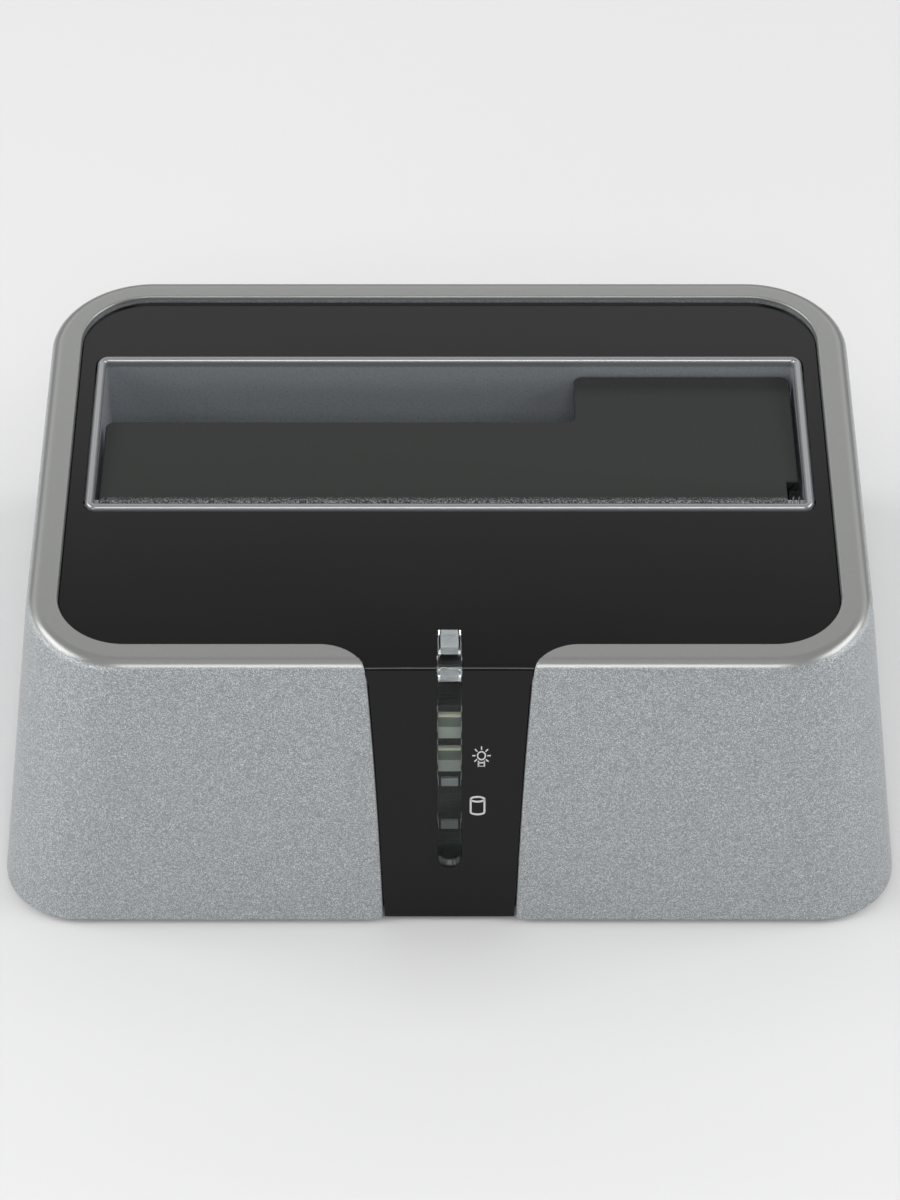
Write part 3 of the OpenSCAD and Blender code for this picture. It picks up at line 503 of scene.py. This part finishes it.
# Painted shade: the strip's end is tinted nearly black.
clear = ramp(tree, axis(tree, place, "Z"), strip_end + painted_shade_full * MM, strip_end + painted_shade_end * MM)
finish_material(tree, {"Base Color": mix_colours(tree, clear, "#0c0d0d", "#eef4f4"), "Roughness": 0.04,
                       "IOR": 1.49, "Transmission Weight": 1.0, "Specular IOR Level": 0.12,
                       "Specular Tint": (0.2, 0.2, 0.2, 1)})
edged_copy("light_guide", "dock", acrylic, edge=0.12)

# Foam is matt white with fine open cells.
swelling = 0.12
white_foam = moulded("foam, white", "#e6eaef", "#fafbfc", roughness=0.8, grain=0.25, depth=0.03)
pad = edged_copy("guide_pad", "dock", white_foam, edge=0.1)
pressed = pad.modifiers.new("pressed against the acrylic", "DISPLACE")
pressed.strength = swelling * MM
pressed.mid_level = 0


# Fascia and its signs
# One polished black ABS skin in the shape of a T: the top panel and a stem that bends over the front edge. A
# flange behind the housing's wall holds it. Two generic signs, a lamp and a drive, are printed beside the
# guide in light grey.

# Polished ABS mirrors the room at about a fiftieth of its brightness, with very slight waves.
wave_wide, wave_deep = 22, 0.02
gloss_black, tree, place = start_material("ABS, polished black")
wave = noise(tree, place, wave_wide, 1.0)
finish_material(tree, {"Base Color": linear("#070707"), "Roughness": ramp(tree, wave, 0, 1, 0.1, 0.14),
                       "Normal": bumps(tree, wave, wave_deep), "IOR": 1.52, "Specular IOR Level": 0.24})
edged_copy("fascia", "dock", gloss_black, edge=0)

# The housing's top and height, its half sizes at the top and how far its walls lean out at the foot. The stem
# lies behind the housing's front by the recess.
top, height = 48.5, 47.5
half_wide, half_deep, draft = 60.0, 41.4, 5.7
recess = 0.6


def on_stem(flat, lift):
    """Carries points drawn flat, as across and up in mm, to the leaning face of the stem, lifted off it by
    lift."""
    across, up = flat[..., 0], flat[..., 1]
    rear = recess - lift - half_deep - draft * (top - up) / height
    return np.stack([across, rear, up], axis=-1)


def inked_line(path, width, closed):
    """A printed line: points on both sides of a path (mm), half a width off it along its normal, joined by
    quads."""
    if closed:
        onward = np.roll(path, -1, axis=0) - np.roll(path, 1, axis=0)
    else:
        onward = np.gradient(path, axis=0)
    sideways = np.stack([-onward[:, 1], onward[:, 0]], axis=-1)
    sideways *= width / 2 / np.linalg.norm(sideways, axis=-1, keepdims=True)
    sides = np.stack([path - sideways, path + sideways])
    return sides.reshape(-1, 2), grid_faces(2, len(path), closed)


def lamp_sign():
    """Lamp: a ring, seven rays round its upper part and a box with a slot below it, as pairs of points and
    quads."""
    ring, ring_pen = 0.56, 0.19
    ray_start, ray_end, ray_pen = 0.82, 1.32, 0.18
    box_half, box_top, slot, box_low = 0.42, -0.72, -1.0, -1.5
    brim, box_pen = 0.5, 0.2
    turn = np.linspace(0, 2 * math.pi, 32, endpoint=False)
    parts = [inked_line(ring * np.stack([np.cos(turn), np.sin(turn)], axis=-1), ring_pen, True)]
    for ray in np.radians([-40, 0, 45, 90, 135, 180, 220]):
        way = np.array([math.cos(ray), math.sin(ray)])
        parts.append(inked_line(np.array([ray_start * way, ray_end * way]), ray_pen, False))
    box = np.array([[-box_half, box_top], [-box_half, box_low], [box_half, box_low], [box_half, box_top]])
    parts += [inked_line(box[k:k + 2], box_pen, False) for k in range(3)]
    for level in (slot, box_low):
        parts.append(inked_line(np.array([[-brim, level], [brim, level]]), box_pen, False))
    return parts


def drive_sign():
    """Drive: the outline of a drum, which is an ellipse on top, two sides and the near half of the same
    ellipse below."""
    half, flat, reach, pen = 0.99, 0.34, 0.92, 0.27
    turn = np.linspace(0, 2 * math.pi, 40, endpoint=False)
    ellipse = np.stack([half * np.cos(turn), flat * np.sin(turn) + reach], axis=-1)
    near = np.linspace(-math.pi, 0, 24)
    bowl = np.stack([half * np.cos(near), flat * np.sin(near) - reach], axis=-1)
    outline = np.concatenate([[[-half, reach]], bowl, [[half, reach]]])
    return [inked_line(ellipse, pen, True), inked_line(outline, pen, False)]


# The signs are drawn taller than wide, so that they look right to someone who looks down at the dock.
taller, ink_lift = 1.3, 0.03
lamp_spot, drive_spot = (4.54, 31.62), (4.02, 22.32)
drawn, faces, count = [], [], 0
for sign, spot in ((lamp_sign(), lamp_spot), (drive_sign(), drive_spot)):
    for flat, quads in sign:
        drawn.append(on_stem(flat * (1, taller) + spot, ink_lift))
        faces += (quads + count).tolist()
        count += len(flat)

# Pad-printed ink is flat light grey, a little duller than the plastic.
sign_ink = moulded("pad-printed ink, light grey", "#b4b5b5", "#c6c7c7",
                   roughness=0.5, grain=0.3, depth=0.002)
new_piece("printed_signs", np.concatenate(drawn), faces, sign_ink, "dock")


# Housing
# One ABS shell with leaning walls, round corners and a flat rim, sprayed with metallic silver. The fascia's T
# is cut out of its top and front, and the rear panel's opening out of its rear. It drops over the base and is
# screwed from below.

# The wall, the rim's rounded edge with the narrow flat beside it, the corners' radii and the foot's.
wall, edge_round, edge_margin = 2.0, 1.6, 0.15
top_corner, base_corner = 14.7, 11.5
foot_z, foot_round = top - height, 0.6

# The T's cut: the gap round the fascia, the stem's half width at the foot and its spread to the top, the
# panel's opening, and the flare's arc, into which the stem's edge runs from flare_low to flare_high.
gap = 0.25
stem_low, stem_spread = 9.5, 2.05
opening_half, opening_corner = 55.4 + gap, 9.8 + gap
opening_front, opening_rear = -36.8 - gap, 37.2 + gap
flare_x, flare_y, flare_round = 18.26, -44.0, 7.2 - gap
flare_low, flare_high = top - 3.2, top - 1.0

# The rear cut's half width and top.
rear_cut, rear_cut_top = 42.2, 23.2

# Columns of the grid: steps round a corner, along a straight stretch and along the flare.
turn = np.radians(np.linspace(0, 90, 25))[1:]
stretch = np.array([0.03, 0.35, 0.65, 1.0])
flare = np.linspace(0, 1, 14)


def outline_half(z, inset):
    """Right half of the leaning outline for each height z, drawn in by inset: from the stem's edge along the
    front, round the front corner, along the side, round the rear corner and along the rear to the middle.
    Its half sizes grow, and its corner radius shrinks, evenly from top to bottom. The stem's edge spreads
    upwards, half of it evenly and half with the square of the height, runs into the flare's arc at the top
    and is rounded off at the bottom."""
    z, inset = z[:, None], inset[:, None]
    down = (top - z) / height
    wide = half_wide + draft * down - inset
    deep = half_deep + draft * down - inset
    corner = top_corner + (base_corner - top_corner) * down - inset
    rise = (z - foot_z) / height
    stem = stem_low + stem_spread * (0.5 * rise + 0.5 * rise * rise) + gap
    on_flare = flare_x - np.sqrt(np.maximum(flare_round ** 2 - (flare_y + deep) ** 2, 0))
    bend = np.clip((z - flare_low) / (flare_high - flare_low), 0, 1)
    foot = np.clip(foot_round + foot_z - z, 0, foot_round)
    edge = stem + (on_flare - stem) * bend * bend * (3 - 2 * bend)
    edge = edge + foot_round - np.sqrt(foot_round ** 2 - foot ** 2)
    across = [edge + (flare_x - edge) * flare,
              flare_x + (wide - corner - flare_x) * stretch,
              wide - corner + corner * np.sin(turn),
              wide + 0 * stretch,
              wide - corner + corner * np.cos(turn),
              wide - corner + (rear_cut - wide + corner) * stretch,
              rear_cut * (1 - stretch) + 0 * z]
    back = [-deep + 0 * flare,
            -deep + 0 * stretch,
            -deep + corner - corner * np.cos(turn),
            (deep - corner) * (2 * stretch - 1),
            deep - corner + corner * np.sin(turn),
            deep + 0 * stretch,
            deep + 0 * stretch]
    across, back = np.concatenate(across, axis=1), np.concatenate(back, axis=1)
    return np.stack([across, back, z + 0 * across], axis=-1)


def opening_half_row(z, first_y):
    """Right half of the T's edge in the top face at height z, point for point beside the outline: the arc
    that leaves the stem, from depth first_y on, then the panel's round-cornered rectangle to the middle of
    its rear."""
    first = math.asin((first_y - flare_y) / flare_round)
    swing = first + (math.pi / 2 - first) * flare
    corner_x = opening_half - opening_corner
    low, high = opening_front + opening_corner, opening_rear - opening_corner
    across = np.concatenate([flare_x - flare_round * np.cos(swing),
                             flare_x + (corner_x - flare_x) * stretch,
                             corner_x + opening_corner * np.sin(turn),
                             opening_half + 0 * stretch,
                             corner_x + opening_corner * np.cos(turn),
                             corner_x + (rear_cut - corner_x) * stretch,
                             rear_cut * (1 - stretch)])
    back = np.concatenate([flare_y + flare_round * np.sin(swing),
                           opening_front + 0 * stretch,
                           low - opening_corner * np.cos(turn),
                           low + (high - low) * stretch,
                           high + opening_corner * np.sin(turn),
                           opening_rear + 0 * stretch,
                           opening_rear + 0 * stretch])
    return np.stack([across, back, z + 0 * across], axis=-1)[None]


def shell_faces(kept):
    """Faces of a shell between an outer and an inner grid of points: quads where kept is true, on both grids,
    and quads that join the two grids along every edge between a kept and a missing quad."""
    rows, columns = kept.shape[0] + 1, kept.shape[1] + 1
    inner = rows * columns
    outside = grid_faces(rows, columns, False)[kept.ravel()]
    padded = np.pad(kept, 1)
    row, column = np.nonzero(padded[:-1, 1:-1] != padded[1:, 1:-1])
    first = row * columns + column
    flat_edges = np.stack([first, first + 1, first + 1 + inner, first + inner], axis=-1)
    row, column = np.nonzero(padded[1:-1, :-1] != padded[1:-1, 1:])
    first = row * columns + column
    upright_edges = np.stack([first, first + columns, first + columns + inner, first + inner], axis=-1)
    return np.concatenate([outside, outside[:, ::-1] + inner, flat_edges, upright_edges])


# Rows of the grid, from the foot up: to the rear cut's top, to the fine rows beside the flare, to the rounded
# edge, and over it. The inner grid lies one wall further in and ends one wall below the top.
rows, fine_start, edge_clear = 8, top - 4, 0.2
arc = np.radians(np.linspace(0, 90, 10))
low_z = np.concatenate([foot_z + foot_round * (1 - np.cos(arc[::3])),
                        np.linspace(foot_z + foot_round, rear_cut_top, rows)[1:]])
wall_z = np.concatenate([low_z,
                         np.linspace(rear_cut_top, fine_start, rows)[1:],
                         np.linspace(fine_start, top - edge_round - edge_clear, rows)[1:]])
outer_z = np.concatenate([wall_z, top - edge_round * (1 - np.sin(arc)), [top]])
outer_inset = np.concatenate([0 * wall_z, edge_round * (1 - np.cos(arc)), [edge_round + edge_margin]])
rim_start = edge_round + edge_margin - half_deep
outer = np.concatenate([outline_half(outer_z, outer_inset), opening_half_row(top, rim_start)])
inner_z = np.minimum(outer_z, top - wall)
inner = np.concatenate([outline_half(inner_z, wall + 0 * inner_z), opening_half_row(top - wall, rim_start)])
shell = np.stack([outer, inner])
shell = np.concatenate([shell, shell[:, :, -2::-1] * (-1, 1, 1)], axis=2)

# The quads of the rear cut are left out.
kept = np.ones((shell.shape[1] - 1, shell.shape[2] - 1), bool)
rear_columns = len(stretch)
middle = shell.shape[2] // 2
kept[:len(low_z) - 1, middle - rear_columns:middle + rear_columns] = False

# Sprayed metallic silver sparkles finely: the flakes' glints are painted into the colour. Real flakes are
# near
# 0.03 mm; these are drawn coarser to show.
housing_silver = silver_paint("ABS, sprayed metallic silver", "#838789", "#d6dbde", "#878886", grain=0.09,
                              smooth_from=48.0, gloss=0.4)
housing = new_piece("housing_shell", shell.reshape(-1, 3), shell_faces(kept).tolist(), housing_silver,
                    "dock")
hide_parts("housing")
cut_sharp = math.radians(40)
housing.data.set_sharp_from_angle(angle=cut_sharp)


def mark_cut_edges(mesh):
    """Gives bevel weight 1 to the sharp edges of the cuts on the shell's outer side: the middle of such an
    edge lies within a quarter of the wall's thickness of the outer side, and above the foot."""
    above_foot = foot_z + 0.01
    marked = bmesh.new()
    marked.from_mesh(mesh)
    weight = marked.edges.layers.float.new("bevel_weight_edge")
    for edge in marked.edges:
        x, y, z = (edge.verts[0].co + edge.verts[1].co) / 2 / MM
        lean = draft * (top - z) / height
        depth = min(half_wide + lean - abs(x), half_deep + lean - abs(y), top - z)
        if edge.calc_face_angle(0) > cut_sharp and depth < wall / 4 and z > above_foot:
            edge[weight] = 1.0
    marked.to_mesh(mesh)
    marked.free()


mark_cut_edges(housing.data)
round_edges(housing, 0.3, "WEIGHT")


# Stage
# A pale floor in a dim studio. The sky holds a soft box behind, which the panel mirrors, a weaker glow above
# it and a low reflector at each side; five lamps stand overhead, above the camera, in front and at the sides.
# The camera stands where the photograph's edges and corners put it. Places are in m.

reach = 3.0
floor_mesh = bpy.data.meshes.new("studio_floor")
floor_corners = [(-reach, -reach, 0), (reach, -reach, 0), (reach, reach, 0), (-reach, reach, 0)]
floor_mesh.from_pydata(floor_corners, [], [(0, 1, 2, 3)])

# Matt paper is even and shows no highlight, only the dock's shadow.
paper, tree, _ = start_material("studio paper, pale grey")
finish_material(tree, {"Base Color": linear("#d1d1d1"), "Roughness": 0.9, "Specular IOR Level": 0.1})
floor_mesh.materials.append(paper)
floor = bpy.data.objects.new("studio_floor", floor_mesh)
bpy.context.collection.objects.link(floor)

# Each part of the sky is bounded by ramps along a way of length 1 from the dock to the sky.
dim, box_bright, roof_share, side_bright = 0.28, 1.4, 0.6, 2.4
sky = bpy.data.worlds.new("studio sky")
bpy.context.scene.world = sky
sky.use_nodes = True
tree = sky.node_tree
tree.nodes.clear()
way = add_node(tree, "ShaderNodeTexCoord").outputs["Generated"]
upward = axis(tree, way, "Z")
box_bottom = ramp(tree, upward, 0.3, 0.45, kind="SMOOTHSTEP")
box_top = ramp(tree, upward, 0.74, 0.64, kind="SMOOTHSTEP")
roof = ramp(tree, upward, 0.78, 0.88, high=roof_share, kind="SMOOTHSTEP")
behind = ramp(tree, axis(tree, way, "Y"), 0.3, 0.6, kind="SMOOTHSTEP")
soft_box = times(tree, times(tree, box_bottom, box_top, plus=roof), behind)
strength = ramp(tree, soft_box, 0, 1, dim, box_bright)
aside = add_node(tree, "ShaderNodeMath", {0: axis(tree, way, "X")}, operation="ABSOLUTE").outputs[0]
sides = ramp(tree, aside, 0.7, 0.9, high=side_bright, kind="SMOOTHSTEP")
low = ramp(tree, upward, 0.22, 0.14, kind="SMOOTHSTEP")
glow = add_node(tree, "ShaderNodeBackground",
                {"Color": (1, 1, 1, 1), "Strength": times(tree, sides, low, plus=strength)})
add_node(tree, "ShaderNodeOutputWorld", {"Surface": glow.outputs[0]})


def soft_light(name, place, wide, high, energy):
    """A soft box of this width and height at a place (m), turned to the dock, with its energy in watts."""
    light = bpy.data.lights.new(name, "AREA")
    light.shape = "RECTANGLE"
    light.size = wide
    light.size_y = high
    light.energy = energy
    box = bpy.data.objects.new(name, light)
    box.location = place
    box.rotation_euler = Vector(place).to_track_quat("Z", "Y").to_euler()
    bpy.context.collection.objects.link(box)


soft_light("overhead soft box", (0, -0.1, 1.3), wide=0.8, high=0.8, energy=1.0)
soft_light("key light, above the camera", (0.05, -1.15, 1.22), wide=0.75, high=0.65, energy=8.8)
soft_light("front fill", (-0.8, -1.15, 0.3), wide=0.9, high=0.4, energy=2.8)
soft_light("side light, left", (-1.0, -0.05, 0.75), wide=1.0, high=0.5, energy=9.5)
soft_light("side light, right", (1.0, -0.05, 0.75), wide=1.0, high=0.5, energy=8.8)

lens = bpy.data.cameras.new("view")
lens.lens = 121.83
lens.sensor_width = 36
lens.shift_x = 0.0004
camera = bpy.data.objects.new("view", lens)
camera.location = (0, -0.43667, 0.45357)
camera.rotation_euler = (math.radians(45.22), 0, 0)
bpy.context.collection.objects.link(camera)
bpy.context.scene.camera = camera
bpy.context.scene.view_settings.view_transform = "Standard"
